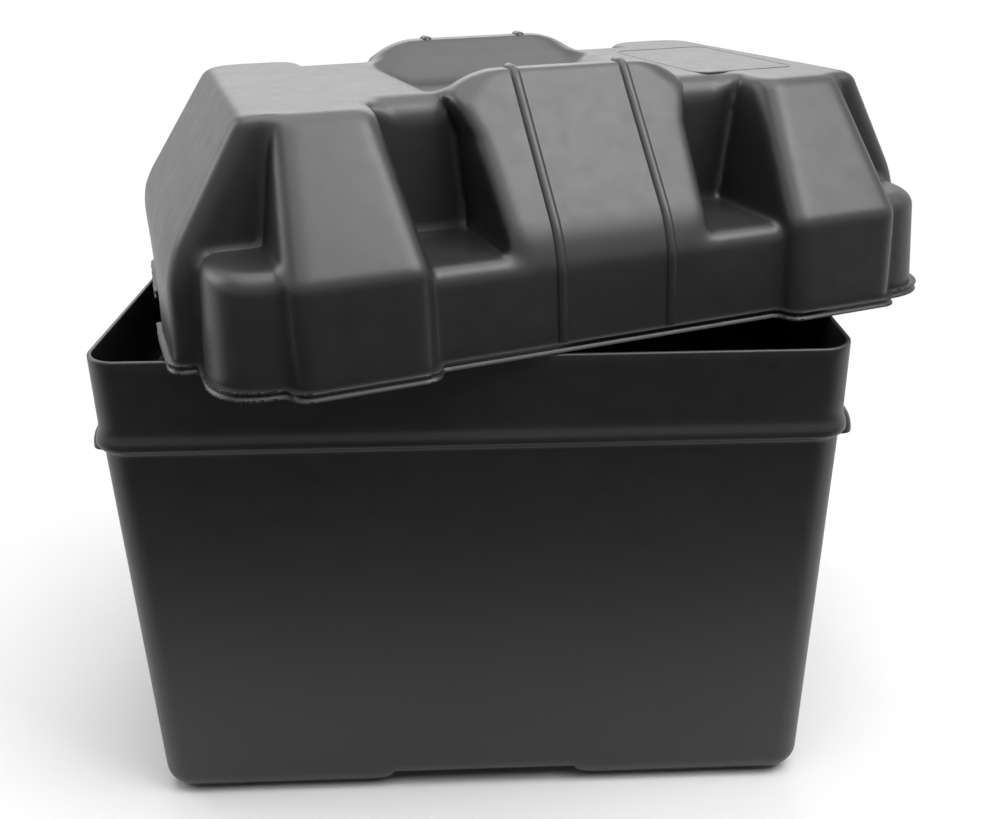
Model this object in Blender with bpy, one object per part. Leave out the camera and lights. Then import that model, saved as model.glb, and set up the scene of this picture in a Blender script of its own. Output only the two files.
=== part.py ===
"""Moulded plastic battery box: an open tub, and its lid laid askew on the tub's rim.

Metres, +Z up. The tub's long side lies along X and its front faces -Y. The origin is
the centre of the whole footprint, on the surface that the tub's feet stand on.
"""
import math

import bmesh
import bpy
from mathutils import Matrix, Vector

# Tub: overall sizes, measured outside
RIM_LENGTH = 0.3750
RIM_DEPTH = 0.2540
TUB_HEIGHT = 0.2706
WALL = 0.0024
TUB_CORNER_RADIUS = 0.0175

# Tub: the upper band, which swells at its lower edge and steps in to the body
BAND_HEIGHT = 0.048
SWELL = 0.0018
SWELL_HEIGHT = 0.010
SWELL_FOOT = 0.0035
STEP_HEIGHT = 0.0015
LEDGE_STEP = 0.0028
BODY_TAPER = 0.0039
BOTTOM_RADIUS = 0.0150

# Tub: the channel for a strap, which runs under the body from front to back
CHANNEL_WIDTH = 0.1035
CHANNEL_RAMP = 0.0115
CHANNEL_RISE = 0.0054

# Tub: the hooded grip under the band at each end
GRIP_LENGTH = 0.1640
GRIP_REACH = 0.0178
GRIP_HEIGHT = 0.0205

# Lid: heights, and how far its sections stand out beyond the sides that close round the rim
LID_CLEARANCE = 0.0003
LID_DRAFT = 0.0031
BEND_HEIGHT = 0.0513
SHELF_HEIGHT = 0.0480
TURRET_HEIGHT = 0.0495
PLATEAU_HEIGHT = 0.1147
END_REACH = 0.0134
TURRET_REACH = 0.0005
BLOCK_REACH = 0.0102
TURRET_STEP = 0.0008
HUMP_STEP = 0.0004

# Lid: how far in from those sides its sections end
END_TOP_SETBACK = 0.0320
END_SIDE_SETBACK = 0.0442
END_TOP_TAPER = 0.0010
BLOCK_SIDE_SETBACK = 0.0321
BLOCK_WIDTH = 0.0661
BLOCK_TOP_INSET = 0.0088
BLOCK_TOP_SETBACK = 0.0418
POCKET_SETBACK = 0.0640
POCKET_DRAFT = 0.0020
CORE_SETBACK = 0.0475

# Lid: the two humps across the middle and the recess between them
HUMP_HALF_WIDTH = 0.0540
HUMP_HALF_WIDTH_AT_RECESS_FLOOR = 0.0620
HUMP_HALF_WIDTH_AT_PLATEAU = 0.0647
HUMP_HALF_WIDTH_AT_RIDGE = 0.0510
HUMP_FLARE_RISE = 0.0008
HUMP_RISE = 0.0108
RIDGE_SETBACK = 0.0600
RIDGE_WIDTH = 0.0100
HUMP_FOOT_WIDTH = 0.0310
RECESS_DEPTH = 0.0107
RECESS_FLOOR_HALF_LENGTH = 0.0490
RECESS_TOP_HALF_LENGTH = 0.0700
RECESS_SETBACK = 0.0760
RECESS_CORNER_RADIUS = 0.0120

# Lid: strap ribs, lip and rounded edges
RIB_HALF_SPACING = 0.0295
RIB_RADIUS = 0.0030
RIB_SINK = 0.0005
RIB_END_HEIGHT = 0.0045
LIP_REACH = 0.0030
LIP_HEIGHT = 0.0050
LIP_DEPTH = 0.0200
LIP_GAP = 0.0500
TURRET_RADIUS = 0.0270
END_RADIUS = 0.0100
BLOCK_RADIUS = 0.0090
HUMP_RADIUS = 0.0042
SHELF_ROUNDING = 0.0090
TURRET_ROUNDING = 0.0110
BEND_ROUNDING = 0.0090
TOP_ROUNDING = 0.0070
END_TOP_ROUNDING = 0.0092
RIDGE_ROUNDING = 0.0035
SECTION_OVERLAP = 0.0240
END_OVERLAP = 0.0310

# Lid: how it lies on the tub
SEAT_GAP = 0.0003
LID_TURN_ANGLE = math.radians(20.7)
LID_SHIFT_X = 0.0246
LID_SHIFT_Y = 0.0106

OVERRUN = 0.0100
SAME_LEVEL = 0.000001
BOTTOM_STEP = 0.0010
CORNER_STEPS = 7
SMALL_STEPS = 2
ROUND_STEPS = 3
ROUND_PROFILE = 0.5
SMOOTH_ANGLE = math.radians(35)
PLASTIC_COLOUR = (0.032, 0.033, 0.034, 1.0)
PLASTIC_ROUGHNESS = 0.48

PARTS = "battery_box"
CUTTERS = "battery_box_cutters"


def clear_scene():
    """Remove every object that the file opens with."""
    for obj in list(bpy.data.objects):
        bpy.data.objects.remove(obj, do_unlink=True)


def make_collection(name):
    collection = bpy.data.collections.new(name)
    bpy.context.scene.collection.children.link(collection)
    return collection


def plastic(name):
    """Plain black moulded plastic."""
    material = bpy.data.materials.new(name)
    material.use_nodes = True
    shader = material.node_tree.nodes["Principled BSDF"]
    shader.inputs["Base Color"].default_value = PLASTIC_COLOUR
    shader.inputs["Roughness"].default_value = PLASTIC_ROUGHNESS
    shader.inputs["Metallic"].default_value = 0.0
    return material


def all_geometry(bm):
    return bm.verts[:] + bm.edges[:] + bm.faces[:]


def at_level(item, height):
    return all(abs(vert.co.z - height) < SAME_LEVEL for vert in item.verts)


def round_off(bm, edges, width, steps):
    bmesh.ops.bevel(bm, geom=edges, offset=width, offset_type="OFFSET", segments=steps,
                    profile=ROUND_PROFILE, affect="EDGES", clamp_overlap=True)


def cut_off(bm, place, outward):
    """Take away what lies beyond a plane and close the cut."""
    cut = bmesh.ops.bisect_plane(bm, geom=all_geometry(bm), plane_co=place, plane_no=outward,
                                 clear_outer=True)
    rim = [item for item in cut["geom_cut"] if isinstance(item, bmesh.types.BMEdge)]
    bmesh.ops.contextual_create(bm, geom=rim)


def deepen(bm, height):
    """Extend a shape down from its flat underside at this height."""
    floor = [face for face in bm.faces if at_level(face, height)]
    extruded = bmesh.ops.extrude_face_region(bm, geom=floor)
    moved = [item for item in extruded["geom"] if isinstance(item, bmesh.types.BMVert)]
    bmesh.ops.translate(bm, verts=moved, vec=(0, 0, -OVERRUN))
    bmesh.ops.delete(bm, geom=floor, context="FACES_ONLY")


def stack(levels, radius=0, steps=1, rounding=()):
    """A block whose rectangle changes from level to level.

    Each level is (height, x_low, x_high, y_low, y_high). The upright corners get the
    radius. The rounding lists (height, width, steps) for the rims to be rounded.
    """
    base, top = levels[0], levels[-1]
    middle = Vector(((base[1] + base[2]) / 2, (base[3] + base[4]) / 2, (base[0] + top[0]) / 2))
    size = Vector((base[2] - base[1], base[4] - base[3], top[0] - base[0]))
    bm = bmesh.new()
    bmesh.ops.create_cube(bm, size=1)
    place = Matrix.Translation(middle) @ Matrix.Diagonal(size).to_4x4()
    bmesh.ops.transform(bm, verts=bm.verts, matrix=place)
    if radius:
        upright = [edge for edge in bm.edges if edge.verts[0].co.xy == edge.verts[1].co.xy]
        round_off(bm, upright, radius, steps)
    for level in levels[1:-1]:
        bmesh.ops.bisect_plane(bm, geom=all_geometry(bm), dist=SAME_LEVEL,
                               plane_co=(0, 0, level[0]), plane_no=(0, 0, 1))
    for vert in bm.verts:
        level = min(levels, key=lambda row: abs(row[0] - vert.co.z))
        side_x = 1 if vert.co.x < middle.x else 2
        side_y = 3 if vert.co.y < middle.y else 4
        vert.co.x += level[side_x] - base[side_x]
        vert.co.y += level[side_y] - base[side_y]
    for height, width, count in rounding:
        rim = [edge for edge in bm.edges if at_level(edge, height)]
        round_off(bm, rim, width, count)
    return bm


def to_object(name, bm, collection):
    mesh = bpy.data.meshes.new(name)
    bm.to_mesh(mesh)
    bm.free()
    obj = bpy.data.objects.new(name, mesh)
    collection.objects.link(obj)
    return obj


def to_cutter(name, bm, collection):
    """An object that only shapes another one."""
    obj = to_object(name, bm, collection)
    obj.hide_render = True
    obj.display_type = "WIRE"
    return obj


def boolean(obj, cutter, operation):
    """Shape an object with a cutter, which rides with it from then on."""
    modifier = obj.modifiers.new(cutter.name, "BOOLEAN")
    modifier.operation = operation
    modifier.object = cutter
    modifier.solver = "EXACT"
    cutter.parent = obj


def spread(half_x, half_y, height):
    """A level that is centred on the origin."""
    return (height, -half_x, half_x, -half_y, half_y)


# The tub

def ledge_height():
    return TUB_HEIGHT - BAND_HEIGHT


def tub_levels(inset, floor, top):
    """The tub's side from the floor up, as levels; the inset is the wall's thickness."""
    half_x, half_y = RIM_LENGTH / 2 - inset, RIM_DEPTH / 2 - inset
    ledge = ledge_height()
    body = LEDGE_STEP - SWELL
    rows = [
        (floor, -body - BODY_TAPER),
        (ledge - STEP_HEIGHT, -body),
        (ledge, SWELL / 2),
        (ledge + STEP_HEIGHT, SWELL),
        (ledge + SWELL_FOOT, SWELL),
        (ledge + SWELL_HEIGHT, 0),
        (top, 0),
    ]
    return [spread(half_x + change, half_y + change, height) for height, change in rows]


def channel(name, grow, collection):
    """The strap channel under the body, grown by the wall for the inner floor."""
    half_foot = CHANNEL_WIDTH / 2 + CHANNEL_RAMP + grow
    half_top = CHANNEL_WIDTH / 2 + grow
    reach = RIM_DEPTH / 2 + OVERRUN
    bottom = -OVERRUN
    levels = [
        spread(half_foot, reach, bottom),
        spread(half_foot, reach, 0),
        spread(half_top, reach, CHANNEL_RISE + grow),
    ]
    return to_cutter(name, stack(levels), collection)


def grip_shape(name, side, inset, collection):
    """A half oval under the ledge at one end; the inset gives its open inside."""
    reach, height = GRIP_REACH + SWELL - inset, GRIP_HEIGHT - inset
    half_length = GRIP_LENGTH / 2 - inset
    foot = ledge_height() - GRIP_HEIGHT
    bm = bmesh.new()
    bmesh.ops.create_cone(bm, cap_ends=True, segments=4 * CORNER_STEPS, radius1=1, radius2=1, depth=2)
    lay_down = Matrix.Rotation(math.pi / 2, 4, "X")
    size = Matrix.Diagonal((reach, half_length, height, 1))
    centre = Matrix.Translation((side * RIM_LENGTH / 2, 0, foot))
    bmesh.ops.transform(bm, verts=bm.verts, matrix=centre @ size @ lay_down)
    inner_face = RIM_LENGTH / 2 - LEDGE_STEP + SWELL + (0 if inset else -WALL / 2)
    cut_off(bm, (0, 0, foot), (0, 0, -1))
    cut_off(bm, (side * inner_face, 0, 0), (-side, 0, 0))
    if inset:
        deepen(bm, foot)
    bmesh.ops.recalc_face_normals(bm, faces=bm.faces)
    return to_cutter(name, bm, collection)


def build_tub(parts, cutters):
    floor = 0
    outside = stack(tub_levels(0, floor, TUB_HEIGHT), TUB_CORNER_RADIUS, CORNER_STEPS,
                    [(floor, BOTTOM_RADIUS, ROUND_STEPS)])
    tub = to_object("box_tub", outside, parts)
    boolean(tub, channel("channel_cut", 0, cutters), "DIFFERENCE")
    for side, word in ((-1, "left"), (1, "right")):
        boolean(tub, grip_shape(word + "_grip_outside", side, 0, cutters), "UNION")
    inner_top = TUB_HEIGHT + OVERRUN
    inside = stack(tub_levels(WALL, WALL, inner_top), TUB_CORNER_RADIUS - WALL, CORNER_STEPS,
                   [(WALL, BOTTOM_RADIUS - WALL, ROUND_STEPS)])
    hollow = to_cutter("tub_hollow", inside, cutters)
    boolean(hollow, channel("channel_inside", WALL, cutters), "DIFFERENCE")
    boolean(tub, hollow, "DIFFERENCE")
    for side, word in ((-1, "left"), (1, "right")):
        boolean(tub, grip_shape(word + "_grip_hollow", side, WALL, cutters), "DIFFERENCE")
    return tub


# The lid, in its own frame: its lower edge is at height zero and its middle at the origin

def bend_draft(height):
    """How far a section has leaned in at this height below the bend."""
    return LID_DRAFT * height / BEND_HEIGHT


def round_the_rim():
    """What the lid's sides need beyond the rim to close over it, down to the swell."""
    return LID_CLEARANCE + bend_draft(BAND_HEIGHT - SWELL_HEIGHT) + WALL


def lid_half_x():
    return RIM_LENGTH / 2 + round_the_rim()


def lid_half_y():
    return RIM_DEPTH / 2 + round_the_rim()


def core_half_length():
    return lid_half_x() - CORE_SETBACK


def end_half_width():
    return lid_half_y() - END_SIDE_SETBACK


def block_span():
    """The nearer and the farther side of a block, from the lid's middle."""
    outer = lid_half_x() - BLOCK_SIDE_SETBACK
    return outer - BLOCK_WIDTH, outer


def pocket_back():
    return lid_half_y() - POCKET_SETBACK


def ridge_span():
    """The inner and the outer edge of a hump's ridge, from the lid's middle."""
    outer = lid_half_y() - RIDGE_SETBACK
    return outer - RIDGE_WIDTH, outer


def mirrored(side_x, side_y, height, x_in, x_out, y_in, y_out):
    """A level given from the middle outward, placed in one of the four quarters."""
    x_low, x_high = sorted((side_x * x_in, side_x * x_out))
    y_low, y_high = sorted((side_y * y_in, side_y * y_out))
    return (height, x_low, x_high, y_low, y_high)


def core_mass(inset, bottom):
    """The middle of the lid, with the pockets' back walls on its long sides."""
    half_x, half_y = core_half_length() - inset, pocket_back() - inset
    top = PLATEAU_HEIGHT - inset
    levels = [
        spread(half_x, half_y, bottom),
        spread(half_x, half_y - POCKET_DRAFT, top),
    ]
    return stack(levels, rounding=[(top, TOP_ROUNDING - inset, ROUND_STEPS)])


def recess(grow):
    """The hollow between the humps, where a hand goes under the strap."""
    floor = PLATEAU_HEIGHT - RECESS_DEPTH - grow
    top = PLATEAU_HEIGHT + HUMP_RISE + OVERRUN
    slope = (RECESS_TOP_HALF_LENGTH - RECESS_FLOOR_HALF_LENGTH) / RECESS_DEPTH
    half_floor = RECESS_FLOOR_HALF_LENGTH + grow
    half_depth = lid_half_y() - RECESS_SETBACK
    levels = [
        spread(half_floor, half_depth, floor),
        spread(half_floor + slope * (top - floor), half_depth, top),
    ]
    return stack(levels, RECESS_CORNER_RADIUS, ROUND_STEPS)


def centre_mass(inset, bottom):
    """The low front and rear sections, whose tops are the pockets' floors."""
    half_x = sum(block_span()) / 2
    top = SHELF_HEIGHT - inset
    half_y = lid_half_y() - inset
    levels = [
        spread(half_x, half_y, bottom),
        spread(half_x, half_y - bend_draft(SHELF_HEIGHT), top),
    ]
    return stack(levels, rounding=[(top, SHELF_ROUNDING - inset, ROUND_STEPS)])


def turret_mass(side_x, side_y, inset, bottom):
    """A low round corner of the lid."""
    x_in, y_in = core_half_length() - SECTION_OVERLAP + inset, end_half_width() - SECTION_OVERLAP + inset
    x_out, y_out = lid_half_x() + TURRET_REACH - inset, lid_half_y() + TURRET_STEP - inset
    draft = bend_draft(TURRET_HEIGHT)
    top = TURRET_HEIGHT - inset
    levels = [
        mirrored(side_x, side_y, bottom, x_in, x_out, y_in, y_out),
        mirrored(side_x, side_y, top, x_in, x_out - draft, y_in, y_out - draft),
    ]
    rounding = [(top, TURRET_ROUNDING - inset, ROUND_STEPS)]
    return stack(levels, TURRET_RADIUS - inset, CORNER_STEPS, rounding)


def end_mass(side_x, inset, bottom):
    """One end of the lid: upright to the bend, then slanting in to the plateau."""
    x_in = core_half_length() - END_OVERLAP + inset
    x_out = lid_half_x() + END_REACH - inset
    x_top = lid_half_x() - END_TOP_SETBACK - inset
    half_y = end_half_width() - inset
    top = PLATEAU_HEIGHT - inset
    levels = [
        mirrored(side_x, 1, bottom, x_in, x_out, -half_y, half_y),
        mirrored(side_x, 1, BEND_HEIGHT, x_in, x_out - LID_DRAFT, -half_y, half_y),
        mirrored(side_x, 1, top, x_in, x_top, END_TOP_TAPER - half_y, half_y - END_TOP_TAPER),
    ]
    rounding = [
        (top, END_TOP_ROUNDING - inset, ROUND_STEPS),
        (BEND_HEIGHT, BEND_ROUNDING - inset, SMALL_STEPS),
    ]
    return stack(levels, END_RADIUS - inset, ROUND_STEPS, rounding)


def block_mass(side_x, side_y, inset, bottom):
    """One of the four blocks that stand out from the long sides."""
    x_in, x_out = block_span()[0] + inset, block_span()[1] - inset
    y_in = pocket_back() - SECTION_OVERLAP + inset
    y_out = lid_half_y() + BLOCK_REACH - inset
    y_top = lid_half_y() - BLOCK_TOP_SETBACK - inset
    top = PLATEAU_HEIGHT - inset
    levels = [
        mirrored(side_x, side_y, bottom, x_in, x_out, y_in, y_out),
        mirrored(side_x, side_y, BEND_HEIGHT, x_in, x_out, y_in, y_out - LID_DRAFT),
        mirrored(side_x, side_y, top, x_in + BLOCK_TOP_INSET, x_out - BLOCK_TOP_INSET, y_in, y_top),
    ]
    rounding = [
        (top, TOP_ROUNDING - inset, ROUND_STEPS),
        (BEND_HEIGHT, BEND_ROUNDING - inset, SMALL_STEPS),
    ]
    return stack(levels, BLOCK_RADIUS - inset, ROUND_STEPS, rounding)


def hump_mass(side_y, inset, bottom):
    """One hump: it carries the strap from the lid's lower edge up over its ridge."""
    top = PLATEAU_HEIGHT + HUMP_RISE - inset
    floor = PLATEAU_HEIGHT - RECESS_DEPTH - inset
    plateau = PLATEAU_HEIGHT + HUMP_FLARE_RISE - inset
    y_low = lid_half_y() + HUMP_STEP - inset
    y_bend, y_top = y_low - LID_DRAFT, ridge_span()[1] - inset
    y_ridge = ridge_span()[0] + inset
    y_foot = ridge_span()[1] - HUMP_FOOT_WIDTH + inset
    y_plateau = y_foot + (y_ridge - y_foot) * (plateau - floor) / (top - floor)
    slope = (y_bend - y_top) / (top - BEND_HEIGHT)

    def row(height, half_width, y_in):
        y_out = y_low if height <= 0 else y_bend - slope * (height - BEND_HEIGHT)
        return mirrored(1, side_y, height, inset - half_width, half_width - inset, y_in, y_out)

    levels = [
        row(bottom, HUMP_HALF_WIDTH, y_foot),
        row(BEND_HEIGHT, HUMP_HALF_WIDTH, y_foot),
        row(floor, HUMP_HALF_WIDTH_AT_RECESS_FLOOR, y_foot),
        row(plateau, HUMP_HALF_WIDTH_AT_PLATEAU, y_plateau),
        row(top, HUMP_HALF_WIDTH_AT_RIDGE, y_ridge),
    ]
    rounding = [
        (top, RIDGE_ROUNDING - inset, SMALL_STEPS),
        (BEND_HEIGHT, BEND_ROUNDING - inset, SMALL_STEPS),
    ]
    return stack(levels, HUMP_RADIUS - inset, SMALL_STEPS, rounding)


def quarters():
    return [(side_x, side_y) for side_x in (-1, 1) for side_y in (-1, 1)]


def lid_masses(inset, bottom):
    """Every section that is joined to the core, as (name, mesh).

    The sections reach below the lid to different depths, so that no two bottoms meet.
    """
    centre, turret, block, end, hump = [bottom - BOTTOM_STEP * count for count in range(1, 6)]
    masses = [("centre", centre_mass(inset, centre))]
    for number, (side_x, side_y) in enumerate(quarters(), 1):
        masses.append(("turret_%d" % number, turret_mass(side_x, side_y, inset, turret)))
        masses.append(("block_%d" % number, block_mass(side_x, side_y, inset, block)))
    for number, side in enumerate((-1, 1), 1):
        masses.append(("end_%d" % number, end_mass(side, inset, end)))
        masses.append(("hump_%d" % number, hump_mass(side, inset, hump)))
    return masses


def lip_slab(level, radius=0):
    """A flat slab that stands out from one section's lower edge."""
    return stack([(-OVERRUN / 2,) + level[1:], (LIP_HEIGHT,) + level[1:]], radius, CORNER_STEPS)


def lip_slabs():
    """The rolled lip along the lower edge; it is left out at the middle of each end."""
    side_x, side_y = lid_half_x() + LIP_REACH, lid_half_y() + LIP_REACH
    turret_x, turret_y = side_x + TURRET_REACH, side_y + TURRET_STEP
    block_x, block_y = block_span(), side_y + BLOCK_REACH
    end_x, end_y = side_x + END_REACH, end_half_width() + LIP_REACH
    inner_x, inner_y = core_half_length() - LIP_DEPTH, end_half_width() - LIP_DEPTH
    slabs = [("lip_centre", lip_slab(spread(block_x[0] + LIP_DEPTH, side_y, 0)))]
    for number, (way_x, way_y) in enumerate(quarters(), 1):
        turret = mirrored(way_x, way_y, 0, inner_x, turret_x, inner_y, turret_y)
        block = mirrored(way_x, way_y, 0, block_x[0] - LIP_REACH, block_x[1] + LIP_REACH,
                         block_y - LIP_DEPTH, block_y)
        end = mirrored(way_x, way_y, 0, core_half_length(), end_x, LIP_GAP / 2, end_y)
        slabs.append(("lip_turret_%d" % number, lip_slab(turret, TURRET_RADIUS + LIP_REACH)))
        slabs.append(("lip_block_%d" % number, lip_slab(block, BLOCK_RADIUS)))
        slabs.append(("lip_end_%d" % number, lip_slab(end, END_RADIUS)))
    return slabs


def rib_route():
    """The middle line of a strap rib, up a hump and over its ridge, as (y, z)."""
    top = PLATEAU_HEIGHT + HUMP_RISE
    low_y = lid_half_y() + HUMP_STEP
    bend_y = low_y - LID_DRAFT
    inner_y, outer_y = ridge_span()
    return [
        (low_y - RIB_SINK, RIB_END_HEIGHT),
        (bend_y - RIB_SINK, BEND_HEIGHT - BEND_ROUNDING / 2),
        (bend_y - RIB_SINK - BEND_ROUNDING / 3, BEND_HEIGHT + BEND_ROUNDING / 2),
        (outer_y, top - RIB_SINK - RIDGE_ROUNDING / 2),
        ((outer_y + inner_y) / 2, top - RIB_SINK),
        (inner_y, top - RIB_SINK - RIDGE_ROUNDING / 2),
        (inner_y - RIB_RADIUS, top - HUMP_RISE / 2),
    ]


def round_bar(name, points, radius, collection):
    """A mesh round bar along the points."""
    curve = bpy.data.curves.new(name, "CURVE")
    curve.dimensions = "3D"
    curve.bevel_depth = radius
    curve.bevel_resolution = SMALL_STEPS
    curve.use_fill_caps = True
    spline = curve.splines.new("POLY")
    spline.points.add(len(points) - 1)
    for point, place in zip(spline.points, points):
        point.co = (*place, 1)
    bar = bpy.data.objects.new(name + "_curve", curve)
    collection.objects.link(bar)
    depsgraph = bpy.context.evaluated_depsgraph_get()
    mesh = bpy.data.meshes.new_from_object(bar.evaluated_get(depsgraph))
    bpy.data.objects.remove(bar, do_unlink=True)
    bm = bmesh.new()
    bm.from_mesh(mesh)
    bmesh.ops.remove_doubles(bm, verts=bm.verts, dist=SAME_LEVEL)
    bmesh.ops.recalc_face_normals(bm, faces=bm.faces)
    return bm


def strap_rib(name, x, side_y, collection):
    """A half round rib up one side of the lid; its other half is sunk in the hump."""
    points = [(x, side_y * y, z) for y, z in rib_route()]
    return to_cutter(name, round_bar(name, points, RIB_RADIUS, collection), collection)


def join_masses(core, cut, masses, cutters, word):
    """Cut the recess from the core, then join every section to it."""
    boolean(core, to_cutter(word + "_recess", cut, cutters), "DIFFERENCE")
    for name, bm in masses:
        boolean(core, to_cutter(word + "_" + name, bm, cutters), "UNION")


def below_lid():
    """Everything under the lid's lower edge, to cut all sections off level."""
    return stack([spread(RIM_LENGTH, RIM_DEPTH, -OVERRUN - OVERRUN), spread(RIM_LENGTH, RIM_DEPTH, 0)])


def build_lid(parts, cutters):
    lid = to_object("box_lid", core_mass(0, -OVERRUN), parts)
    join_masses(lid, recess(0), lid_masses(0, -OVERRUN) + lip_slabs(), cutters, "outside")
    for number, (side_x, side_y) in enumerate(quarters(), 1):
        rib = strap_rib("strap_rib_%d" % number, side_x * RIB_HALF_SPACING, side_y, cutters)
        boolean(lid, rib, "UNION")
    boolean(lid, to_cutter("below_lid", below_lid(), cutters), "DIFFERENCE")
    hollow = to_cutter("lid_hollow", core_mass(WALL, -OVERRUN), cutters)
    join_masses(hollow, recess(WALL), lid_masses(WALL, -OVERRUN), cutters, "inside")
    boolean(lid, hollow, "DIFFERENCE")
    return lid


def footprint_centre(objects):
    """The middle of the objects' outline, seen from above."""
    bpy.context.view_layer.update()
    depsgraph = bpy.context.evaluated_depsgraph_get()
    corners = []
    for obj in objects:
        evaluated = obj.evaluated_get(depsgraph)
        corners += [obj.matrix_world @ vert.co for vert in evaluated.data.vertices]
    low = [min(corner[axis] for corner in corners) for axis in (0, 1)]
    high = [max(corner[axis] for corner in corners) for axis in (0, 1)]
    return Vector(((low[0] + high[0]) / 2, (low[1] + high[1]) / 2, 0))


def make_frame(name, collection, parent=None):
    """An empty that parts hang on."""
    frame = bpy.data.objects.new(name, None)
    collection.objects.link(frame)
    frame.parent = parent
    return frame


def finish(obj, frame):
    obj.parent = frame
    obj.data.materials.append(plastic(obj.name + "_plastic"))
    obj.data.shade_smooth()
    obj.data.set_sharp_from_angle(angle=SMOOTH_ANGLE)


def main():
    clear_scene()
    parts = make_collection(PARTS)
    cutters = make_collection(CUTTERS)
    base = make_frame("box_frame", parts)
    lift = make_frame("lid_lift", parts, base)
    lift.location = (LID_SHIFT_X, LID_SHIFT_Y, TUB_HEIGHT + SEAT_GAP)
    lift.rotation_euler = (0, 0, LID_TURN_ANGLE)
    tub = build_tub(parts, cutters)
    lid = build_lid(parts, cutters)
    finish(tub, base)
    finish(lid, lift)
    base.location = -footprint_centre((tub, lid))


main()
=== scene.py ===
import math

import bmesh
import bpy
import numpy as np
from mathutils import Euler, Matrix, Vector


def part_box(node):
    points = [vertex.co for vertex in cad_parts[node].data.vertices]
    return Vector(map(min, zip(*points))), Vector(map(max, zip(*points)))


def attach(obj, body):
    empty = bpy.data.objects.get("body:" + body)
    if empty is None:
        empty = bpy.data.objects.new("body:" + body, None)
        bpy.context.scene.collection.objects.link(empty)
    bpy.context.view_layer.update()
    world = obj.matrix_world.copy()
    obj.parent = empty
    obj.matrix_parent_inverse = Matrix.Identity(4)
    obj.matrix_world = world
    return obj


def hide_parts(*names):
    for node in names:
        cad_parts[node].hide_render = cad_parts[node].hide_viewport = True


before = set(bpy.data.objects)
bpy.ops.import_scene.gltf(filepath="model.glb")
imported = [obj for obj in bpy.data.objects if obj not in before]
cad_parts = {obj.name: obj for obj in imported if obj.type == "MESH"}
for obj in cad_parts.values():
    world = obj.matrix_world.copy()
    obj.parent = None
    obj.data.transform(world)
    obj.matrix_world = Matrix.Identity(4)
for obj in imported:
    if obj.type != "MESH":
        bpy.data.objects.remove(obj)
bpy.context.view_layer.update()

# Lengths below are millimetres, in each moulding's own frame: the tub's stands on its feet
# and the lid's on its lower edge, both with their middle at zero.
MM = 0.001

# Tub
RIM_HALF_X = 187.5
RIM_HALF_Y = 127.0
TUB_HEIGHT = 270.6
WALL = 2.4
BAND = 48.0
SWELL = 1.7
LEDGE_IN = 1.0
BODY_TAPER = 3.9
TUB_CORNER = 17.5
FOOT_RADIUS = 15.0
RIM_ROUNDING = 0.9
CHANNEL_FLAT = 51.75
CHANNEL_FOOT = 63.25
CHANNEL_RISE = 5.4
CHANNEL_FADE = 34.0
CORNER_STEPS = 14
CORNER_SHRINK, CORNER_LEAST = 0.4, 1.0
FOOT_STEPS = 10
CHANNEL_STEPS = 8
BODY_ROWS = (0.18, 0.34, 0.5, 0.66, 0.82, 0.94)

# Tub: its side at the ledge, as (height above the ledge, how far it stands out from the rim)
LEDGE_ROWS = (
    (-4.2, -LEDGE_IN - 0.1),
    (-2.6, -LEDGE_IN),
    (-1.4, -LEDGE_IN + 0.3),
    (-0.6, 0),
    (0.2, SWELL * 0.7),
    (1.4, SWELL),
    (3.2, SWELL),
    (5.2, SWELL * 0.8),
    (7.4, SWELL * 0.35),
    (9.8, SWELL * 0.08),
    (13.0, 0),
    (BAND - 6.0, 0),
    (BAND, 0),
)

# Grips
GRIP_HALF_LENGTH = 82.0
GRIP_OUT = 18.6
GRIP_FOOT = 202.1
GRIP_HEIGHT = 20.0
GRIP_IN = 6.0

# Lid
DRAFT = 3.1
BEND = 51.3
SHELF = 48.0
TURRET = 55.5
PLATEAU = 114.7
RIDGE = 125.5
END_X, END_TOP_X, END_Y, END_TAPER, END_ROOT = 205.9, 160.5, 87.8, 1.0, 120.0
REAR_LEAN, FOOT_LEAN, TOP_LEAN, REAR_LEAN_START = 0.029, 0.040, 0.048, -40.0
BLOCK_NEAR, BLOCK_FAR, BLOCK_Y, BLOCK_TOP_Y, BLOCK_SQUEEZE = 94.3, 160.4, 142.2, 90.2, 8.8
CORE_X, CORE_Y, CORE_DRAFT = 145.0, 68.0, 2.0
FRONT_Y, SHELF_X = 132.2, 127.0
TURRET_X, TURRET_Y, TURRET_ROOT_X, TURRET_ROOT_Y = 193.0, 132.8, 122.0, 64.0
HUMP_LOW, HUMP_WIDE, HUMP_TOP, HUMP_SHOULDER = 54.0, 64.7, 51.0, 114.7
HUMP_NECK, HUMP_NECK_HEIGHT = 58.0, 97.0
RIDGE_OUT, RIDGE_IN, HUMP_FOOT_Y = 72.0, 62.0, 41.0
RECESS_FLOOR, RECESS_X, RECESS_TOP_X, RECESS_Y = 104.0, 49.0, 70.0, 56.0

# Lid: rounded edges and hollows
FILLET = 3.5
EDGE = 8.0
BLOCK_EDGE = 10.0
END_BEND = 19.0
BEND_RADIUS = 9.0
PLATEAU_EDGE = 6.5
END_CORNER = 9.0
TURRET_CORNER = 28.0
SHELF_EDGE = 8.0
POCKET_ROLL = 14.0
TURRET_EDGE = 8.0
RIDGE_EDGE = 4.5
HUMP_EDGE = 9.0
RECESS_EDGE = 7.0

# Lid: the degrees by which the surface turns at the rounded edges that aren't square
END_TURN, BLOCK_TURN, BOWL_TURN, PLATEAU_TURN, POCKET_TURN = 53, 38, 27, 75, 88
RECESS_TURN, SHOULDER_TURN, CREST_TURN, RIDGE_TURN = 40, 50, 45, 50

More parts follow.
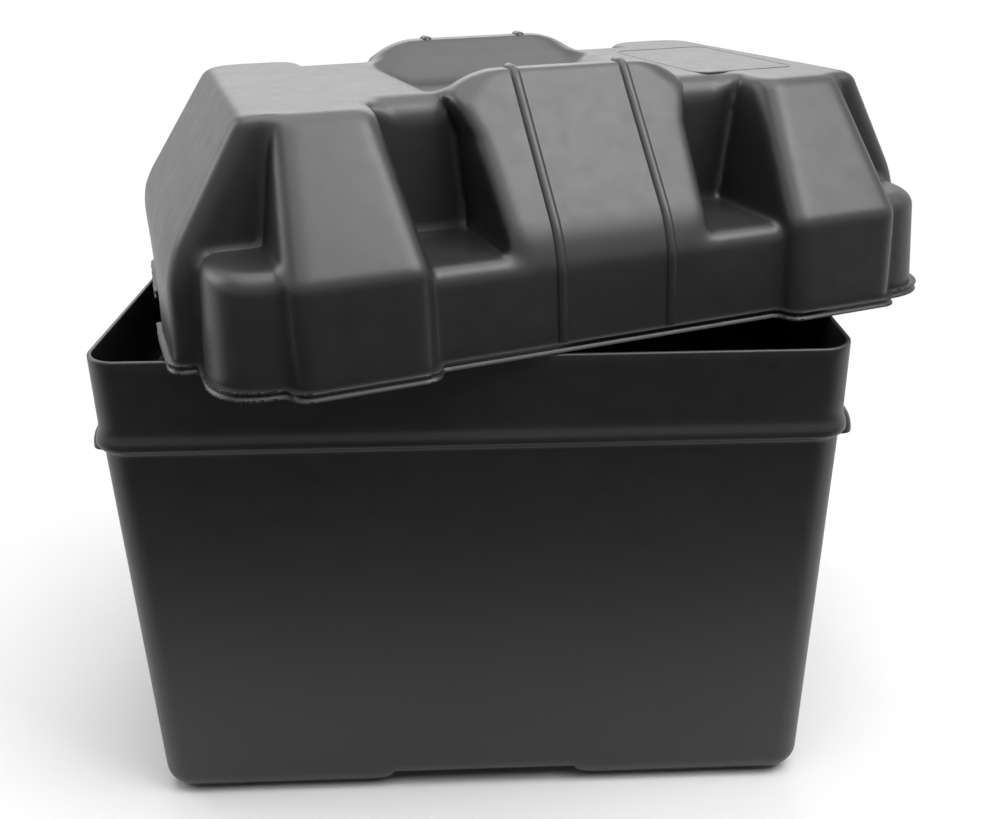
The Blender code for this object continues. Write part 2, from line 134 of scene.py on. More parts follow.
# Lid: lip, ribs and the plain frame on its top
LIP_OUT, LIP_HEIGHT, LIP_GAP = 2.1, 5.0, 25.0
LIP_GROOVE, LIP_ROUNDING = 0.75, 1.3
RIB_X, RIB_RADIUS, RIB_SINK = 29.5, 2.9, 1.1
RIB_LOW, RIB_EYE_Y, RIB_EYE_Z, RIB_POINTS = 3.0, 58.0, 30.0, 64
RIB_END_ANGLE, RIB_HALVINGS, RIB_TIP = math.radians(88), 40, 0.02
PANEL_LOW_X, PANEL_HIGH_X, PANEL_LOW_Y, PANEL_HIGH_Y = 84.0, 146.0, -56.0, 44.0
PANEL_CORNER, PANEL_LINE, PANEL_STEPS = 7.0, 0.7, 8

# How finely the surfaces are drawn
SHELL_PITCH = 2.5
LIP_PITCH = 0.85
GRIP_PITCH = 1.6
RELAX_ROUNDS = 3
PULL_STEPS = 3
SLOPE_STEP, LEAST_SLOPE = 0.05, 0.05
TUBE_RESOLUTION = 5
SHARP = math.radians(38)

# Photograph and camera, in the photograph's pixels where no unit is named
PHOTO_WIDTH, PHOTO_HEIGHT = 1000, 819
CAMERA_FOCAL = 1100.34
CAMERA_CENTRE = (531.15, 360.87)
CAMERA_PLACE = (9.31, -614.18, 471.38)
CAMERA_TURN = 0.03788
CAMERA_TILT = 0.39585
CAMERA_ROLL = -0.00476
SENSOR = 36.0
CLIP_START = 0.01

# Plastic: noise as (cells to the metre, detail, roughness), and the depths in metres
FLOW, SCUFFS, GRAIN = (14.0, 4.0, 0.55), (90.0, 6.0, 0.7), (1700.0, 2.0, 0.6)
FLOW_LOW, FLOW_HIGH = 0.35, 0.7
SCUFFS_LOW, SCUFFS_HIGH = 0.3, 0.7
DARK_TONE, LIGHT_TONE = (0.92, 0.93, 0.95), (1.1, 1.1, 1.12)
GRAIN_STRENGTH, GRAIN_DEPTH = 0.35, 0.00006
WAVE_STRENGTH, WAVE_DEPTH = 0.3, 0.0006
PLASTIC_IOR = 1.5
TUB_BASE, TUB_ROUGH = 0.012, (0.35, 0.43)
LID_BASE, LID_ROUGH = 0.014, (0.36, 0.44)

# Studio, in metres
FLOOR_SIZE = 60.0
# Painted shade: in front of this edge the floor's colour turns dark, so that the tub's front
# reflects darkness there
PAINTED_SHADE_EDGE, PAINTED_SHADE_FADE = -0.42, 0.25
SHADOW_NEAR, SHADOW_FAR = 0.26, 0.55
PAINTED_SHADE_TONE, FLOOR_TONE, FLOOR_ROUGHNESS = 0.03, 0.88, 0.9
WORLD_LIGHT = 0.02
LAMP_TARGET = (0, 0, 0.3)
LAMPS = (
    ("behind", (-0.05, 1.4, 1.2), (1.6, 0.8), 11.5),
    ("overhead", (0, 0, 1.35), (1.3, 1.0), 12),
    ("right_top", (0.8, -0.4, 1.3), (0.8, 0.8), 13.5),
    ("top_front", (0, -0.7, 1.45), (1.4, 0.8), 6),
    ("left", (-1.4, 0.3, 1.0), (0.9, 0.9), 8),
)


def frame_of(node, height):
    """The middle of a node's box seen from above, at the given height, in metres."""
    low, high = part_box(node)
    return Vector(((low[0] + high[0]) / 2, (low[1] + high[1]) / 2, height))


TUB_PLACE = Matrix.Translation(frame_of("box_tub", 0)) @ Matrix.Scale(MM, 4)
LID_TURN = math.radians(20.7)
LID_PLACE = (Matrix.Translation(frame_of("box_lid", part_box("box_lid")[0][2]))
             @ Matrix.Rotation(LID_TURN, 4, "Z") @ Matrix.Scale(MM, 4))


# Meshes

def make_piece(name, mesh, place, body, node):
    """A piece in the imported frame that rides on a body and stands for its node."""
    mesh.transform(place)
    mesh.shade_smooth()
    mesh.set_sharp_from_angle(angle=SHARP)
    piece = bpy.data.objects.new(name, mesh)
    bpy.context.scene.collection.objects.link(piece)
    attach(piece, body)
    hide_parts(node)
    return piece


def evaluated(data, wall=0.0):
    """The mesh of a curve or mesh, with a wall laid on inwards where one is asked for."""
    helper = bpy.data.objects.new("helper", data)
    bpy.context.scene.collection.objects.link(helper)
    if wall:
        modifier = helper.modifiers.new("wall", "SOLIDIFY")
        modifier.thickness, modifier.offset, modifier.use_even_offset = wall, -1, True
    depsgraph = bpy.context.evaluated_depsgraph_get()
    mesh = bpy.data.meshes.new_from_object(helper.evaluated_get(depsgraph))
    bpy.data.objects.remove(helper, do_unlink=True)
    return mesh


def gradient(field, points):
    """The field's slope at each point, by central differences."""
    columns = []
    for axis in range(3):
        shift = np.zeros(3)
        shift[axis] = SLOPE_STEP
        change = field(*(points + shift).T) - field(*(points - shift).T)
        columns.append(change / (2 * SLOPE_STEP))
    return np.stack(columns, axis=1)


def pull_to_surface(field, points, reach):
    """Move the points along the slope until the field is zero there."""
    for _ in range(PULL_STEPS):
        slope = gradient(field, points)
        length = np.maximum((slope ** 2).sum(axis=1), LEAST_SLOPE)
        step = slope * (field(*points.T) / length)[:, None]
        points = points - np.clip(step, -reach, reach)
    return points


def relax(points, edges):
    """The mean of each point's neighbours."""
    total = np.zeros_like(points)
    number = np.zeros(len(points))
    for near, far in ((0, 1), (1, 0)):
        np.add.at(total, edges[:, near], points[edges[:, far]])
        np.add.at(number, edges[:, near], 1)
    return total / np.maximum(number, 1)[:, None]


def grid_quads(inside, number):
    """One face for each grid edge at which the field changes sign, through the cells round it."""
    cells = number.shape
    quads = []
    for axis in range(3):
        side, other = (axis + 1) % 3, (axis + 2) % 3
        near, far = [slice(None)] * 3, [slice(None)] * 3
        near[axis], far[axis] = slice(None, -1), slice(1, None)
        near, far = inside[tuple(near)], inside[tuple(far)]
        for change, order in ((near & ~far, 1), (~near & far, -1)):
            nodes = np.argwhere(change)
            room = [(nodes[:, way] > 0) & (nodes[:, way] < cells[way]) for way in (side, other)]
            nodes = nodes[np.all(room, axis=0)]
            around = []
            for back_side, back_other in ((1, 1), (0, 1), (0, 0), (1, 0)):
                cell = nodes.copy()
                cell[:, side] -= back_side
                cell[:, other] -= back_other
                around.append(number[tuple(cell.T)])
            quads.append(np.stack(around, axis=1)[:, ::order])
    return np.concatenate(quads)


def skin(name, field, low, high, pitch):
    """The surface where the field is zero, as a mesh of even quads."""
    axes = [np.arange(a, b + pitch, pitch) for a, b in zip(low, high)]
    inside = field(*np.meshgrid(*axes, indexing="ij")) < 0
    cells = [size - 1 for size in inside.shape]
    corners = [inside[i:i + cells[0], j:j + cells[1], k:k + cells[2]]
               for i in (0, 1) for j in (0, 1) for k in (0, 1)]
    crossed = np.any(corners, axis=0) & ~np.all(corners, axis=0)
    number = np.full(crossed.shape, -1)
    number[crossed] = np.arange(crossed.sum())
    points = np.array(low) + (np.argwhere(crossed) + 0.5) * pitch
    quads = grid_quads(inside, number)

    sides = np.concatenate([quads[:, [i, (i + 1) % 4]] for i in range(4)])
    edges = np.unique(np.sort(sides, axis=1), axis=0)
    points = pull_to_surface(field, points, pitch)
    for _ in range(RELAX_ROUNDS):
        points = pull_to_surface(field, (points + relax(points, edges)) / 2, pitch)
    mesh = bpy.data.meshes.new(name)
    mesh.from_pydata(points.tolist(), [], quads.tolist())
    return mesh


def cut_off(mesh, height):
    """Cut the mesh at a height, and drop what lies below."""
    bm = bmesh.new()
    bm.from_mesh(mesh)
    geometry = bm.verts[:] + bm.edges[:] + bm.faces[:]
    bmesh.ops.bisect_plane(bm, geom=geometry, dist=MM, plane_co=(0, 0, height),
                           plane_no=(0, 0, 1), clear_inner=True)
    bm.to_mesh(mesh)
    bm.free()
    return mesh


# Fields: negative inside, and about the distance to the surface in millimetres

def smooth_max(first, second, reach):
    overlap = np.maximum(reach - np.abs(first - second), 0)
    return np.maximum(first, second) + overlap * overlap / (4 * reach)


def smooth_min(first, second, reach):
    return -smooth_max(-first, -second, reach)


def rounding(radius, turn=90):
    """The reach that rounds an edge to the radius, where the surface turns by so many degrees."""
    angle = math.radians(turn)
    return radius * angle * math.sin(angle / 2)


def slant(u, z, start, end):
    """The distance from the line that runs from start up to end, positive on its outer side."""
    run, rise = start[0] - end[0], end[1] - start[1]
    return ((u - start[0]) * rise + (z - start[1]) * run) / math.hypot(run, rise)


def above_bend(z):
    return np.clip((z - BEND) / (PLATEAU - BEND), 0, 1)


def end_field(x, y, z, lean):
    """An end of the lid, which is set in further towards the rear."""
    share = above_bend(z)
    low_lean = REAR_LEAN + FOOT_LEAN * np.clip(1 - z / BEND, 0, 1)
    back = (1 - share) * low_lean * np.maximum(y - REAR_LEAN_START, 0) + share * TOP_LEAN * y
    face = slant(x, z, (END_X - DRAFT, BEND), (END_TOP_X, PLATEAU))
    face = smooth_max(x - END_X + lean, face, rounding(END_BEND, END_TURN)) + back
    side = np.abs(y) - END_Y + END_TAPER * share
    return np.maximum(smooth_max(face, side, rounding(END_CORNER)), END_ROOT - x)


def block_field(x, y, z, lean):
    squeeze = BLOCK_SQUEEZE * above_bend(z)
    sides = np.maximum(BLOCK_NEAR + squeeze - x, x - BLOCK_FAR + squeeze)
    face = slant(y, z, (BLOCK_Y - DRAFT, BEND), (BLOCK_TOP_Y, PLATEAU))
    face = smooth_max(y - BLOCK_Y + lean, face, rounding(BEND_RADIUS, BLOCK_TURN))
    return smooth_max(face, sides, rounding(BLOCK_EDGE))


def recess_field(x, y, z):
    slope = (RECESS_TOP_X - RECESS_X) / (PLATEAU - RECESS_FLOOR)
    ends = (x - RECESS_X - slope * (z - RECESS_FLOOR)) / math.hypot(1, slope)
    bowl = smooth_max(RECESS_FLOOR - z, ends, rounding(BEND_RADIUS, BOWL_TURN))
    return smooth_max(bowl, y - RECESS_Y, rounding(EDGE))


def hump_field(x, y, z):
    half = np.interp(z, (BEND, HUMP_NECK_HEIGHT, HUMP_SHOULDER),
                     (HUMP_LOW, HUMP_NECK, HUMP_WIDE))
    shoulder = slant(x, z, (HUMP_WIDE, HUMP_SHOULDER), (HUMP_TOP, RIDGE))
    flank = smooth_max(x - half, shoulder, rounding(EDGE, SHOULDER_TURN))
    face = slant(y, z, (FRONT_Y - DRAFT, BEND), (RIDGE_OUT, RIDGE))
    back = slant(-y, z, (-HUMP_FOOT_Y, RECESS_FLOOR), (-RIDGE_IN, RIDGE))
    crest = smooth_max(back, z - RIDGE, rounding(RIDGE_EDGE, CREST_TURN))
    ridge = smooth_max(crest, face, rounding(RIDGE_EDGE, RIDGE_TURN))
    return smooth_max(flank, ridge, rounding(HUMP_EDGE))


def turret_field(x, y, z, lean):
    wall = smooth_max(x - TURRET_X + lean, y - TURRET_Y + lean, rounding(TURRET_CORNER))
    wall = np.maximum(wall, np.maximum(TURRET_ROOT_X - x, TURRET_ROOT_Y - y))
    return smooth_max(wall, z - TURRET, rounding(TURRET_EDGE))


def lid_field(x, y, z):
    """The lid's outside. Left and right are alike. The rear differs from the front only in
    the lean of the ends and in the flat top's narrower roll over the pockets."""
    lean = DRAFT * z / BEND
    front = y < 0
    end = end_field(np.abs(x), y, z, lean)
    x, y = np.abs(x), np.abs(y)
    core = np.maximum(x - CORE_X, y - CORE_Y + CORE_DRAFT * above_bend(z))
    block = block_field(x, y, z, lean)
    upper = smooth_min(core, block, rounding(FILLET))
    upper = smooth_min(upper, end, rounding(FILLET))
    pocket = np.clip((np.minimum(block, end) - core) / POCKET_ROLL, 0, 1) * front
    narrow, wide = rounding(PLATEAU_EDGE, PLATEAU_TURN), rounding(POCKET_ROLL, POCKET_TURN)
    upper = smooth_max(upper, z - PLATEAU, narrow + (wide - narrow) * pocket)
    upper = smooth_max(upper, -recess_field(x, y, z), rounding(RECESS_EDGE, RECESS_TURN))
    shelf = np.maximum(z - SHELF, x - SHELF_X)
    middle = smooth_min(hump_field(x, y, z), shelf, rounding(FILLET))
    middle = smooth_max(middle, y - FRONT_Y + lean, rounding(SHELF_EDGE))
    whole = smooth_min(upper, middle, rounding(FILLET))
    return smooth_min(whole, turret_field(x, y, z, lean), rounding(FILLET))


def lip_field(x, y, z):
    """A ring round the lid's lower edge, grooved along its outside and left out at the
    middle of each end."""
    outline = lid_field(x, y, np.full_like(z, LIP_HEIGHT / 2))
    groove = LIP_GROOVE * np.cos(2 * math.pi * z / LIP_HEIGHT)
    outer = outline - LIP_OUT - groove
    ring = smooth_max(outer, -outline - WALL, rounding(LIP_ROUNDING))
    ring = smooth_max(ring, np.abs(z - LIP_HEIGHT / 2) - LIP_HEIGHT / 2, rounding(LIP_ROUNDING))
    gap = np.maximum(TURRET_X - np.abs(x), np.abs(y) - LIP_GAP)
    return smooth_max(ring, -gap, rounding(LIP_ROUNDING))


def grip_field(x, y, z):
    """A quarter oval that runs along the tub's end, closed at both ends."""
    out, up = x / GRIP_OUT, (z - GRIP_FOOT) / GRIP_HEIGHT
    reach = np.sqrt(np.maximum(out, 0) ** 2 + np.maximum(up, 0) ** 2)
    oval = (reach - 1) * GRIP_HEIGHT
    return smooth_max(oval, np.abs(y) - GRIP_HALF_LENGTH, rounding(EDGE))


# Pieces of the lid

def lid_shell():
    """The lid's shell: its outside, cut at the lower edge and given the wall's thickness."""
    low = (-END_X - EDGE, -BLOCK_Y - EDGE, -3 * SHELL_PITCH)
    high = (END_X + EDGE, BLOCK_Y + EDGE, RIDGE + EDGE)
    outside = cut_off(skin("lid_shell", lid_field, low, high, SHELL_PITCH), LIP_GROOVE)
    return make_piece("lid_shell", evaluated(outside, WALL), LID_PLACE, "lid", "box_lid")


def lid_lip():
    margin = LIP_OUT + 3 * LIP_PITCH
    low = (-END_X - margin, -BLOCK_Y - margin, -2 * LIP_PITCH)
    high = (END_X + margin, BLOCK_Y + margin, LIP_HEIGHT + 2 * LIP_PITCH)
    mesh = skin("lid_lip", lip_field, low, high, LIP_PITCH)
    return make_piece("lid_lip", mesh, LID_PLACE, "lid", "box_lid")


def rib_route(x):
    """Points up one long side of the lid and over the ridge, where the rib's middle runs."""
    start = math.atan2(RIB_LOW - RIB_EYE_Z, FRONT_Y - RIB_EYE_Y)
    angles = np.linspace(start, RIB_END_ANGLE, RIB_POINTS)
    ways = np.stack([np.zeros_like(angles), np.cos(angles), np.sin(angles)], axis=1)
    eye = np.array([x, RIB_EYE_Y, RIB_EYE_Z])
    near, far = np.zeros(RIB_POINTS), np.full(RIB_POINTS, 2 * FRONT_Y)
    for _ in range(RIB_HALVINGS):
        middle = (near + far) / 2
        outside = lid_field(*(eye + ways * middle[:, None]).T) + RIB_SINK > 0
        near, far = np.where(outside, near, middle), np.where(outside, middle, far)
    return eye + ways * near[:, None]


def tube(name, points, radii, closed=False):
    """A round bar along the points, as a curve turned into a mesh."""
    curve = bpy.data.curves.new(name, "CURVE")
    curve.dimensions = "3D"
    curve.bevel_depth = 1.0
    curve.bevel_resolution = TUBE_RESOLUTION
    curve.use_fill_caps = not closed
    spline = curve.splines.new("POLY")
    spline.points.add(len(points) - 1)
    spline.use_cyclic_u = closed
    for point, place, radius in zip(spline.points, points, radii):
        point.co = (*place, 1)
        point.radius = radius
    mesh = evaluated(curve)
    bm = bmesh.new()
    bm.from_mesh(mesh)
    bmesh.ops.remove_doubles(bm, verts=bm.verts, dist=MM)
    bm.to_mesh(mesh)
    bm.free()
    return mesh


def strap_rib(number, side_x, side_y):
    """A half sunk bar that guides the strap, with a round end behind the ridge."""
    route = rib_route(RIB_X)
    spare = np.linalg.norm(route - route[-1], axis=1)
    dome = np.sqrt(np.clip(1 - (1 - spare / RIB_RADIUS) ** 2, RIB_TIP, 1))
    radii = RIB_RADIUS * np.where(spare < RIB_RADIUS, dome, 1)
    bar = tube("strap_rib", route * np.array([side_x, side_y, 1]), radii)
    return make_piece("strap_rib_%d" % number, bar, LID_PLACE, "lid", "box_lid")


def top_panel():
    """A plain frame on the flat top, a fine raised line with rounded corners."""
    left, right = PANEL_LOW_X + PANEL_CORNER, PANEL_HIGH_X - PANEL_CORNER
    near, far = PANEL_LOW_Y + PANEL_CORNER, PANEL_HIGH_Y - PANEL_CORNER
    points = []
    for x, y, start in ((right, far, 0), (left, far, 90), (left, near, 180), (right, near, 270)):
        for step in range(PANEL_STEPS + 1):
            angle = math.radians(start + step * 90 / PANEL_STEPS)
            points.append((x + PANEL_CORNER * math.cos(angle),
                           y + PANEL_CORNER * math.sin(angle), PLATEAU - PANEL_LINE / 2))
    mesh = tube("top_panel", points, [PANEL_LINE] * len(points), closed=True)
    return make_piece("top_panel", mesh, LID_PLACE, "lid", "box_lid")


# Pieces of the tub

def tub_profile():
    """The tub's side from the foot up, as (height, how far it stands out from the rim)."""
    ledge = TUB_HEIGHT - BAND
    rows = []
    for step in range(FOOT_STEPS + 1):
        angle = math.radians(90 * step / FOOT_STEPS)
        height = FOOT_RADIUS * (1 - math.cos(angle))
        taper = BODY_TAPER * (1 - height / ledge)
        rows.append((height, -LEDGE_IN - taper - FOOT_RADIUS * (1 - math.sin(angle))))
    rows += [(ledge * share, -LEDGE_IN - BODY_TAPER * (1 - share)) for share in BODY_ROWS]
    rows += [(ledge + above, out) for above, out in LEDGE_ROWS]
    return rows


def channel_rise(x):
    """How far the underside is lifted for the strap channel."""
    share = np.clip((CHANNEL_FOOT - np.abs(x)) / (CHANNEL_FOOT - CHANNEL_FLAT), 0, 1)
    return CHANNEL_RISE * (1 - math.sqrt(1 - share * share))


def side_columns():
    """Places along the straight part of a long side, closer together at the channel's steps."""
    straight = RIM_HALF_X - TUB_CORNER - LEDGE_IN - BODY_TAPER
    step = (CHANNEL_FOOT - CHANNEL_FLAT) / CHANNEL_STEPS
    half = [0, CHANNEL_FLAT / 3, CHANNEL_FLAT * 2 / 3]
    half += [CHANNEL_FLAT + step * count for count in range(CHANNEL_STEPS + 1)]
    half += [CHANNEL_FOOT + (straight - CHANNEL_FOOT) * share for share in (0.25, 0.5, 0.75, 1)]
    return [-x for x in half[:0:-1]] + half


def moved_out(x, end, reach):
    """A place along the side, moved beyond the channel so that the last one comes to reach."""
    if abs(x) <= CHANNEL_FOOT:
        return x
    share = (reach - CHANNEL_FOOT) / (end - CHANNEL_FOOT)
    return math.copysign(CHANNEL_FOOT + (abs(x) - CHANNEL_FOOT) * share, x)


def ring(out):
    """A rounded rectangle that stands out from the rim by so much, as (x, y) points, with
    the number of points along its front and the number of the rear's first point."""
    half_x, half_y = RIM_HALF_X + out, RIM_HALF_Y + out
    radius = max(TUB_CORNER + min(out, 0) * CORNER_SHRINK, CORNER_LEAST)
    columns = side_columns()
    points = [(moved_out(x, columns[-1], half_x - radius), -half_y) for x in columns]
    for way, start in ((-1, -90), (1, 0)):
        x, y = half_x - radius, way * (half_y - radius)
        for step in range(1, CORNER_STEPS):
            angle = math.radians(start + 90 * step / CORNER_STEPS)
            points.append((x + radius * math.cos(angle), y + radius * math.sin(angle)))
        if way < 0:
            points += [(half_x, (half_y - radius) * share) for share in (-1, -0.5, 0, 0.5, 1)]
    half = len(points)
    points += [(-x, -y) for x, y in points]
    return points, len(columns), half


def close_foot(bm, foot, front, half):
    """The underside: strips from the front to the rear, and one face at each end."""
    rear = foot[half:half + front][::-1]
    for here in range(front - 1):
        bm.faces.new((foot[here], rear[here], rear[here + 1], foot[here + 1]))
    bm.faces.new(foot[front - 1:half + 1][::-1])
    bm.faces.new((foot[half + front - 1:] + foot[:1])[::-1])


def tub_shell():
    """The tub: rings from the foot to the rim, closed underneath, with the wall's thickness."""
    bm = bmesh.new()
    levels = []
    for height, out in tub_profile():
        points, front, half = ring(out)
        fade = max(0.0, 1 - height / CHANNEL_FADE)
        levels.append([bm.verts.new((x, y, height + fade * channel_rise(x))) for x, y in points])
    for low, high in zip(levels, levels[1:]):
        for here in range(len(low)):
            after = (here + 1) % len(low)
            bm.faces.new((low[here], low[after], high[after], high[here]))
    close_foot(bm, levels[0], front, half)
    mesh = bpy.data.meshes.new("tub_shell")
    bm.to_mesh(mesh)
    bm.free()
    mesh = evaluated(mesh, WALL)
    round_rim(mesh)
    return make_piece("tub_shell", mesh, TUB_PLACE, "tub", "box_tub")


def round_rim(mesh):
    """Round the sharp edges at the top of the wall."""
    bm = bmesh.new()
    bm.from_mesh(mesh)
    top = [edge for edge in bm.edges
           if all(vert.co.z > TUB_HEIGHT - WALL / 4 for vert in edge.verts)]
    rim = [edge for edge in top if edge.calc_face_angle(0) > SHARP]
    bmesh.ops.bevel(bm, geom=rim, offset=RIM_ROUNDING, segments=4, profile=0.5, affect="EDGES")
    bm.to_mesh(mesh)
    bm.free()


def grip(name, side):
    """A hollow hood under the band, open below."""
    low = (-GRIP_IN, -GRIP_HALF_LENGTH - EDGE, GRIP_FOOT - 2 * GRIP_PITCH)
    high = (GRIP_OUT + EDGE, GRIP_HALF_LENGTH + EDGE, GRIP_FOOT + GRIP_HEIGHT + EDGE)
    outside = cut_off(skin(name, grip_field, low, high, GRIP_PITCH), GRIP_FOOT)
    mesh = evaluated(outside, WALL)
    mesh.transform(Matrix.Translation((RIM_HALF_X, 0, 0)))
    if side < 0:
        mesh.transform(Matrix.Rotation(math.pi, 4, "Z"))
    return make_piece(name, mesh, TUB_PLACE, "tub", "box_tub")


# Materials

def add(tree, kind, **inputs):
    """A shader node with its inputs set by name, linked where a socket is given."""
    node = tree.nodes.new(kind)
    for name, value in inputs.items():
        socket = node.inputs[name.replace("_", " ")]
        if isinstance(value, bpy.types.NodeSocket):
            tree.links.new(value, socket)
        else:
            socket.default_value = value
    return node


def add_math(tree, operation, first, second):
    """The result of one sum on a socket and another socket or a number."""
    node = tree.nodes.new("ShaderNodeMath")
    node.operation = operation
    tree.links.new(first, node.inputs[0])
    if isinstance(second, bpy.types.NodeSocket):
        tree.links.new(second, node.inputs[1])
    else:
        node.inputs[1].default_value = second
    return node.outputs[0]


def map_range(tree, value, start, end):
    """The value taken smoothly from the start's span to the end's."""
    node = tree.nodes.new("ShaderNodeMapRange")
    node.interpolation_type = "SMOOTHSTEP"
    tree.links.new(value, node.inputs["Value"])
    for name, number in zip(("From Min", "From Max", "To Min", "To Max"), (*start, *end)):
        node.inputs[name].default_value = number
    return node.outputs["Result"]


def ramp(tree, value, stops):
    """A colour ramp over (place, grey level) stops."""
    node = tree.nodes.new("ShaderNodeValToRGB")
    tree.links.new(value, node.inputs["Fac"])
    while len(node.color_ramp.elements) < len(stops):
        node.color_ramp.elements.new(0.5)
    for element, (place, level) in zip(node.color_ramp.elements, stops):
        element.position = place
        element.color = (level, level, level, 1)
    return node.outputs["Color"]


def noise(tree, places, scale, detail, roughness):
    """A noise pattern with so many cells to the metre."""
    return add(tree, "ShaderNodeTexNoise", Vector=places, Scale=scale, Detail=detail,
               Roughness=roughness).outputs["Fac"]


def moulded_plastic(name, base, rough):
    """Black moulded plastic: a fine matt grain, faint flow marks and light scuffs."""
    material = bpy.data.materials.new(name)
    material.use_nodes = True
    tree = material.node_tree
    shader = tree.nodes["Principled BSDF"]
    shader.inputs["IOR"].default_value = PLASTIC_IOR
    places = tree.nodes.new("ShaderNodeTexCoord").outputs["Object"]
    flow, scuffs, grain = [noise(tree, places, *kind) for kind in (FLOW, SCUFFS, GRAIN)]

    tone = tree.nodes.new("ShaderNodeMix")
    tone.data_type = "RGBA"
    share = ramp(tree, flow, ((FLOW_LOW, 0.0), (FLOW_HIGH, 1.0)))
    tree.links.new(share, tone.inputs["Factor"])
    tone.inputs["A"].default_value = (*[base * part for part in DARK_TONE], 1)
    tone.inputs["B"].default_value = (*[base * part for part in LIGHT_TONE], 1)
    tree.links.new(tone.outputs["Result"], shader.inputs["Base Color"])

    worn = add(tree, "ShaderNodeMapRange", Value=scuffs, From_Min=SCUFFS_LOW,
               From_Max=SCUFFS_HIGH, To_Min=rough[0], To_Max=rough[1])
    tree.links.new(worn.outputs["Result"], shader.inputs["Roughness"])

    bump = add(tree, "ShaderNodeBump", Strength=GRAIN_STRENGTH, Distance=GRAIN_DEPTH, Height=grain)
    waves = add(tree, "ShaderNodeBump", Strength=WAVE_STRENGTH, Distance=WAVE_DEPTH, Height=flow,
                Normal=bump.outputs["Normal"])
    tree.links.new(waves.outputs["Normal"], shader.inputs["Normal"])
    return material


# Studio

def seen_directly(tree):
    """One for the camera's rays and for those that mirrors and glass send on."""
    path = tree.nodes.new("ShaderNodeLightPath")
    value = path.outputs["Is Camera Ray"]
    for name in ("Is Glossy Ray", "Is Transmission Ray"):
        value = add_math(tree, "MAXIMUM", value, path.outputs[name])
    return value


def mix_to_output(tree, share, first, second, output):
    """Send a mix of two shaders to the output."""
    mix = tree.nodes.new("ShaderNodeMixShader")
    for source, socket in zip((share, first.outputs[0], second.outputs[0]), mix.inputs):
        tree.links.new(source, socket)
    tree.links.new(mix.outputs[0], output.inputs["Surface"])


def white_share(tree, where, depth):
    """How far the floor is plain white: not at all near the object, wholly further off, for
    the camera's rays all round and for mirrored rays behind the edge of the painted shade in
    front."""
    off = add(tree, "ShaderNodeVectorMath", Vector=where)
    off.operation = "LENGTH"
    far = map_range(tree, off.outputs["Value"], (SHADOW_NEAR, SHADOW_FAR), (0, 1))
    behind = add_math(tree, "GREATER_THAN", depth, PAINTED_SHADE_EDGE + PAINTED_SHADE_FADE)
    camera = tree.nodes.new("ShaderNodeLightPath").outputs["Is Camera Ray"]
    reached = add_math(tree, "MAXIMUM", camera, behind)
    seen = add_math(tree, "MULTIPLY", seen_directly(tree), reached)
    return add_math(tree, "MULTIPLY", far, seen)


def studio_floor():
    """A pale floor that keeps the object's shadow. In front its colour fades to a dark painted
    shade, which the tub's front reflects."""
    bpy.ops.mesh.primitive_plane_add(size=FLOOR_SIZE, location=(0, 0, 0))
    floor = bpy.context.object
    floor.name = "studio_floor"
    material = bpy.data.materials.new("studio_white")
    material.use_nodes = True
    tree = material.node_tree
    shader = tree.nodes["Principled BSDF"]
    shader.inputs["Roughness"].default_value = FLOOR_ROUGHNESS
    where = tree.nodes.new("ShaderNodeNewGeometry").outputs["Position"]
    depth = add(tree, "ShaderNodeSeparateXYZ", Vector=where).outputs["Y"]
    # Painted shade: the floor's colour darkens towards the front, for the tub's front to reflect
    fade = (PAINTED_SHADE_EDGE, PAINTED_SHADE_EDGE + PAINTED_SHADE_FADE)
    tone = map_range(tree, depth, fade, (PAINTED_SHADE_TONE, FLOOR_TONE))
    tree.links.new(tone, shader.inputs["Base Color"])
    white = add(tree, "ShaderNodeEmission", Color=(1, 1, 1, 1), Strength=1.0)
    share = white_share(tree, where, depth)
    mix_to_output(tree, share, shader, white, tree.nodes["Material Output"])
    floor.data.materials.append(material)


def studio_world():
    """Even light from all round; the camera, and mirrors and glass, see plain white there."""
    world = bpy.data.worlds.new("studio")
    bpy.context.scene.world = world
    world.use_nodes = True
    tree = world.node_tree
    tree.nodes.clear()
    light = add(tree, "ShaderNodeBackground", Color=(1, 1, 1, 1), Strength=WORLD_LIGHT)
    white = add(tree, "ShaderNodeBackground", Color=(1, 1, 1, 1), Strength=1.0)
    output = tree.nodes.new("ShaderNodeOutputWorld")
    mix_to_output(tree, seen_directly(tree), light, white, output)


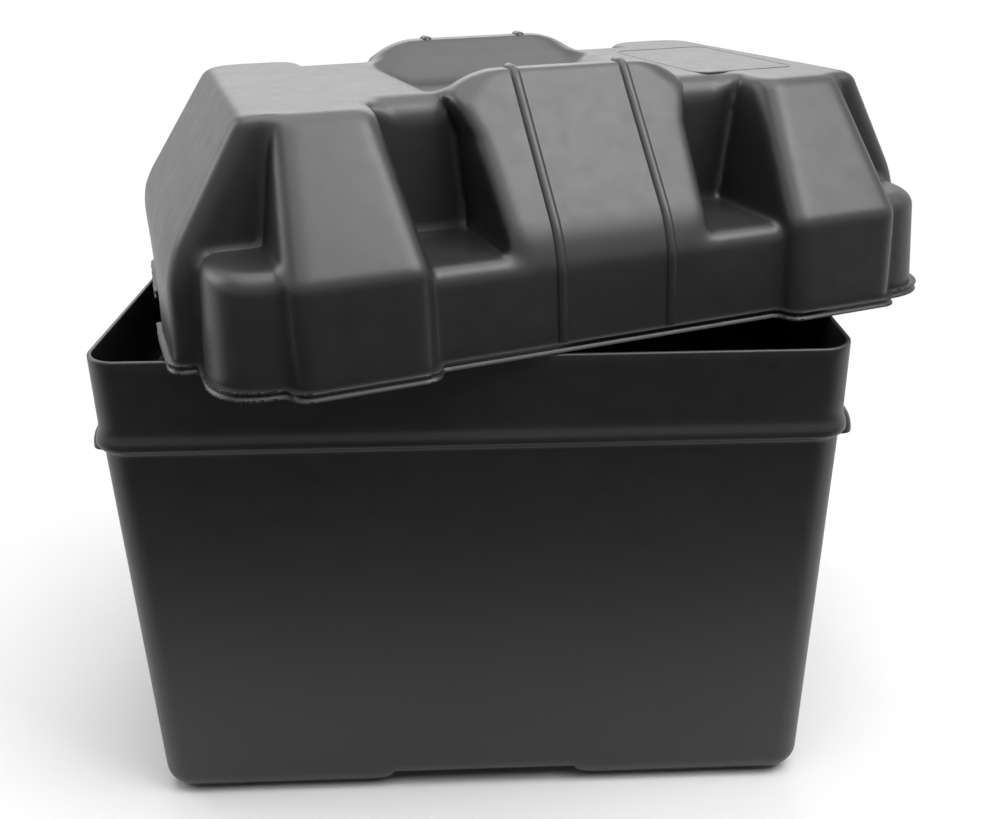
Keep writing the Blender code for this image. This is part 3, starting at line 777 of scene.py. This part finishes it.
def softbox(name, place, size, power):
    """A soft lamp of so many watts, turned to the object."""
    light = bpy.data.lights.new(name, "AREA")
    light.shape = "RECTANGLE"
    light.size, light.size_y = size
    light.energy = power
    lamp = bpy.data.objects.new(name, light)
    bpy.context.scene.collection.objects.link(lamp)
    lamp.location = place
    way = Vector(LAMP_TARGET) - Vector(place)
    lamp.rotation_euler = way.to_track_quat("-Z", "Y").to_euler()


def photo_camera():
    """The photograph's camera: its place, turn, tilt and roll come from a perspective fit."""
    data = bpy.data.cameras.new("photo_camera")
    data.sensor_width = SENSOR
    data.lens = CAMERA_FOCAL * SENSOR / PHOTO_WIDTH
    data.shift_x = (PHOTO_WIDTH / 2 - CAMERA_CENTRE[0]) / PHOTO_WIDTH
    data.shift_y = (CAMERA_CENTRE[1] - PHOTO_HEIGHT / 2) / PHOTO_WIDTH
    data.clip_start = CLIP_START
    camera = bpy.data.objects.new("photo_camera", data)
    bpy.context.scene.collection.objects.link(camera)
    turn = Euler((math.pi / 2 - CAMERA_TILT, 0, -CAMERA_TURN)).to_matrix().to_4x4()
    roll = Matrix.Rotation(CAMERA_ROLL, 4, "Z")
    camera.matrix_world = Matrix.Translation(TUB_PLACE @ Vector(CAMERA_PLACE)) @ turn @ roll
    bpy.context.scene.camera = camera


def finish_with(piece, material):
    piece.data.materials.clear()
    piece.data.materials.append(material)


def main():
    photo_camera()
    tub_plastic = moulded_plastic("tub_plastic", TUB_BASE, TUB_ROUGH)
    lid_plastic = moulded_plastic("lid_plastic", LID_BASE, LID_ROUGH)
    lid_pieces = [lid_shell(), lid_lip(), top_panel()]
    for number, (side_x, side_y) in enumerate(((-1, -1), (1, -1), (-1, 1), (1, 1)), 1):
        lid_pieces.append(strap_rib(number, side_x, side_y))
    tub_pieces = [tub_shell(), grip("left_grip", -1), grip("right_grip", 1)]
    for piece in lid_pieces:
        finish_with(piece, lid_plastic)
    for piece in tub_pieces:
        finish_with(piece, tub_plastic)

    studio_floor()
    studio_world()
    for lamp in LAMPS:
        softbox(*lamp)
    bpy.context.scene.view_settings.view_transform = "Standard"


main()
